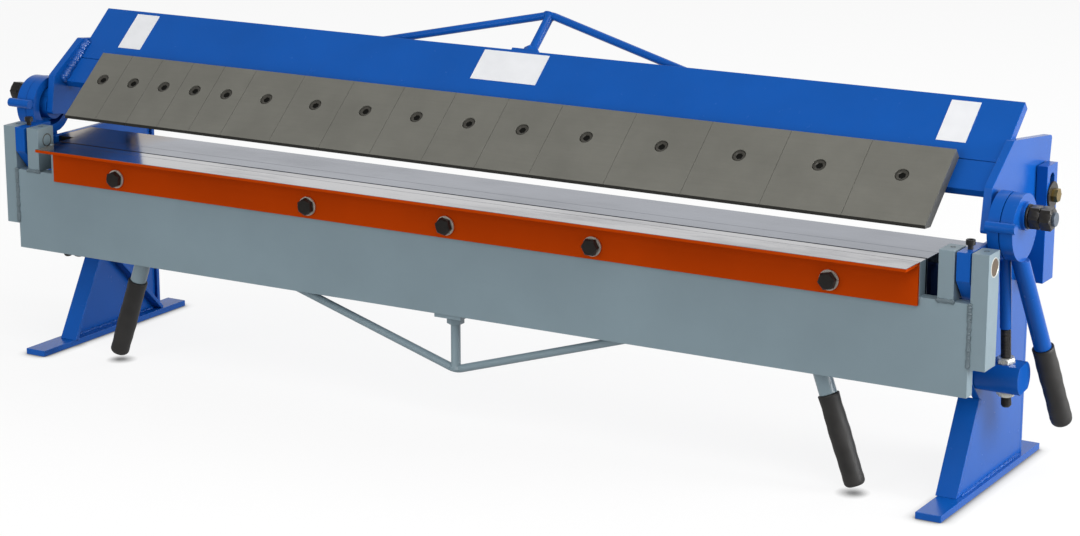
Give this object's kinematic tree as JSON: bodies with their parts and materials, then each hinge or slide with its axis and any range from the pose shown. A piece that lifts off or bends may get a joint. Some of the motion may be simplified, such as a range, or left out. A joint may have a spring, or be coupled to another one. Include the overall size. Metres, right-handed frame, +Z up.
{
  "type": "box and pan brake",
  "caption": "Bench box and pan brake: swinging apron with bending angle, tilting clamping beam with removable fingers, eccentric levers and welded side frames.",
  "frame": {"origin": "on the bench surface, under the middle of the machine's bounding box", "axes": "+X to the operator's right along the bed, +Y away from the operator, +Z up"},
  "size_m": [1.4826, 0.325, 0.4807],
  "materials": {
    "frame_blue": "smooth blue enamel on welded steel",
    "beam_blue": "smooth blue enamel on steel plate",
    "bed_steel": "ground and polished, lightly oiled",
    "apron_grey": "satin blue-grey enamel",
    "angle_orange": "orange enamel, with the working face ground bare",
    "finger_grey": "satin warm grey",
    "black_bolts": "black oxide, oiled",
    "zinc": "bright zinc plate",
    "yellow_zinc": "yellow passivated steel",
    "grip_rubber": "matte black dipped rubber"
  },
  "bodies": {
    "frame": {"left_foot": "frame_blue", "right_foot": "frame_blue", "left_side_plate": "frame_blue", "right_side_plate": "frame_blue", "left_side_stiffeners": "frame_blue", "right_side_stiffeners": "frame_blue", "left_hinge_bearing": "frame_blue", "right_hinge_bearing": "frame_blue", "hinge_pins": "yellow_zinc", "bed_front_wall": "frame_blue", "bed_floor": "frame_blue", "bed_nose_bar": "bed_steel", "bed_top_plate": "bed_steel", "left_pivot_block": "frame_blue", "right_pivot_block": "frame_blue", "pivot_bolts": "yellow_zinc"},
    "apron": {"apron_plate": "apron_grey", "inner_ears": "apron_grey", "outer_ears": "apron_grey", "bending_angle": "angle_orange", "angle_bolts": "black_bolts", "angle_washers": "zinc", "apron_truss": "apron_grey", "apron_truss_nut": "apron_grey", "apron_handles": "apron_grey", "apron_grips": "grip_rubber"},
    "beam": {"upper_plate": "beam_blue", "lower_bar": "beam_blue", "backing_bar": "beam_blue", "left_end_plate": "beam_blue", "right_end_plate": "beam_blue", "beam_truss": "beam_blue", "beam_truss_nut": "beam_blue", "fingers_narrow": "finger_grey", "fingers_middle": "finger_grey", "fingers_wide": "finger_grey", "clamp_studs": "black_bolts", "clamp_nuts": "black_bolts"},
    "right_lever": {"right_clamp_lever": "beam_blue", "right_lever_grip": "grip_rubber"},
    "left_lever": {"left_clamp_lever": "beam_blue", "left_lever_grip": "grip_rubber"},
    "right_link": {"right_strap_link": "beam_blue", "right_link_stud": "black_bolts", "right_link_nuts": "zinc", "right_trunnion": "frame_blue"},
    "left_link": {"left_strap_link": "beam_blue", "left_link_stud": "black_bolts", "left_link_nuts": "zinc", "left_trunnion": "frame_blue"}
  },
  "joints": [
    {"name": "apron_swing", "type": "hinge", "parent": "frame", "child": "apron", "pos_m": [0, -0.107, 0.289], "axis": [-1, 0, 0], "range_deg": [0, 92]},
    {"name": "beam_tilt", "type": "hinge", "parent": "frame", "child": "beam", "pos_m": [0, 0.0905, 0.33], "axis": [1, 0, 0], "range_deg": [0, 9.2]},
    {"name": "right_lever_swing", "type": "hinge", "parent": "beam", "child": "right_lever", "pos_m": [0, -0.04853, 0.336], "axis": [1, 0, 0], "range_deg": [0, 122]},
    {"name": "left_lever_swing", "type": "hinge", "parent": "beam", "child": "left_lever", "pos_m": [0, -0.04853, 0.336], "axis": [1, 0, 0], "range_deg": [0, 122]},
    {"name": "right_link_tilt", "type": "hinge", "parent": "frame", "child": "right_link", "pos_m": [0, -0.025, 0.1436], "axis": [-1, 0, 0], "range_deg": [0, 2.99]},
    {"name": "left_link_tilt", "type": "hinge", "parent": "frame", "child": "left_link", "pos_m": [0, -0.025, 0.1436], "axis": [-1, 0, 0], "range_deg": [0, 2.99]}
  ],
  "couplings": [
    {"joint": "left_lever_swing", "follows": "right_lever_swing", "ratio": 1},
    {"joint": "beam_tilt", "follows": "right_lever_swing", "ratio": 0.0754},
    {"joint": "right_link_tilt", "follows": "right_lever_swing", "ratio": 0.0244},
    {"joint": "left_link_tilt", "follows": "right_lever_swing", "ratio": 0.0244}
  ]
}
